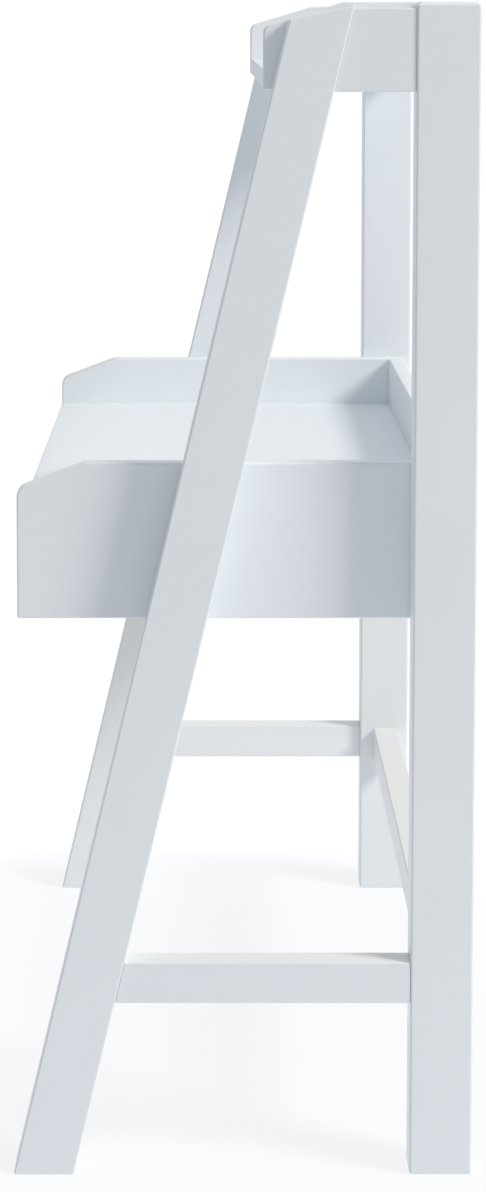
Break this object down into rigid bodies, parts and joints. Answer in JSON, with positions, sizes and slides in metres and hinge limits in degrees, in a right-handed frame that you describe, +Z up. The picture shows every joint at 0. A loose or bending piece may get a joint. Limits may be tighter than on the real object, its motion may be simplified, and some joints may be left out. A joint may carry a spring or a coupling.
{
  "type": "desk with hutch",
  "caption": "Painted wooden writing desk with leaning front legs, upright rear posts, a wide drawer below a lipped writing surface and a raised hutch shelf tray.",
  "frame": {"origin": "on the floor, below the middle of the object's outline", "axes": "+Z up, +X along the width towards the desk's right-hand side, -Y towards the sitter at the front, +Y towards the wall at the back"},
  "size_m": [1, 0.537, 1.372],
  "materials": {
    "white_paint": "cool white satin paint on solid wood",
    "drawer_wood": "clear satin lacquer on bare wood",
    "zinc_steel": "bright zinc plated steel",
    "black_steel": "blackened steel",
    "cast_zinc": "die-cast zinc, as cast"
  },
  "bodies": {
    "desk": {"front_leg_right": "white_paint", "front_leg_left": "white_paint", "rear_post_right": "white_paint", "rear_post_left": "white_paint", "side_stretcher_right": "white_paint", "side_stretcher_left": "white_paint", "top_rail_right": "white_paint", "top_rail_left": "white_paint", "rear_stretcher": "white_paint", "desk_side_right": "white_paint", "desk_side_left": "white_paint", "desk_top": "white_paint", "desk_back": "white_paint", "shelf_side_right": "white_paint", "shelf_side_left": "white_paint", "shelf_board": "white_paint", "shelf_back": "white_paint", "slide_case_right": "zinc_steel", "slide_case_left": "zinc_steel", "case_bolt_leg_lower_right": "black_steel", "case_bolt_leg_lower_left": "black_steel", "case_bolt_leg_upper_right": "black_steel", "case_bolt_leg_upper_left": "black_steel", "case_bolt_post_lower_right": "black_steel", "case_bolt_post_lower_left": "black_steel", "case_bolt_post_upper_right": "black_steel", "case_bolt_post_upper_left": "black_steel", "shelf_bolt_leg_right": "black_steel", "shelf_bolt_leg_left": "black_steel", "shelf_bolt_post_right": "black_steel", "shelf_bolt_post_left": "black_steel", "cam_stud_right": "zinc_steel", "cam_stud_left": "zinc_steel", "cam_lock_right": "cast_zinc", "cam_lock_left": "cast_zinc"},
    "drawer": {"drawer_front": "white_paint", "drawer_inner_front": "drawer_wood", "drawer_side_right": "drawer_wood", "drawer_side_left": "drawer_wood", "drawer_back": "drawer_wood", "drawer_bottom": "drawer_wood", "slide_drawer_right": "zinc_steel", "slide_drawer_left": "zinc_steel", "drawer_front_screw_right": "zinc_steel", "drawer_front_screw_left": "zinc_steel"},
    "slide_middle_right": {"slide_middle_right": "zinc_steel"},
    "slide_middle_left": {"slide_middle_left": "zinc_steel"}
  },
  "joints": [
    {"name": "drawer_slide", "type": "slide", "parent": "desk", "child": "drawer", "axis": [0, -1, 0], "range_m": [0, 0.39]},
    {"name": "middle_slide_right", "type": "slide", "parent": "desk", "child": "slide_middle_right", "axis": [0, -1, 0], "range_m": [0, 0.195]},
    {"name": "middle_slide_left", "type": "slide", "parent": "desk", "child": "slide_middle_left", "axis": [0, -1, 0], "range_m": [0, 0.195]}
  ],
  "couplings": [
    {"joint": "middle_slide_right", "follows": "drawer_slide", "ratio": 0.5},
    {"joint": "middle_slide_left", "follows": "drawer_slide", "ratio": 0.5}
  ]
}
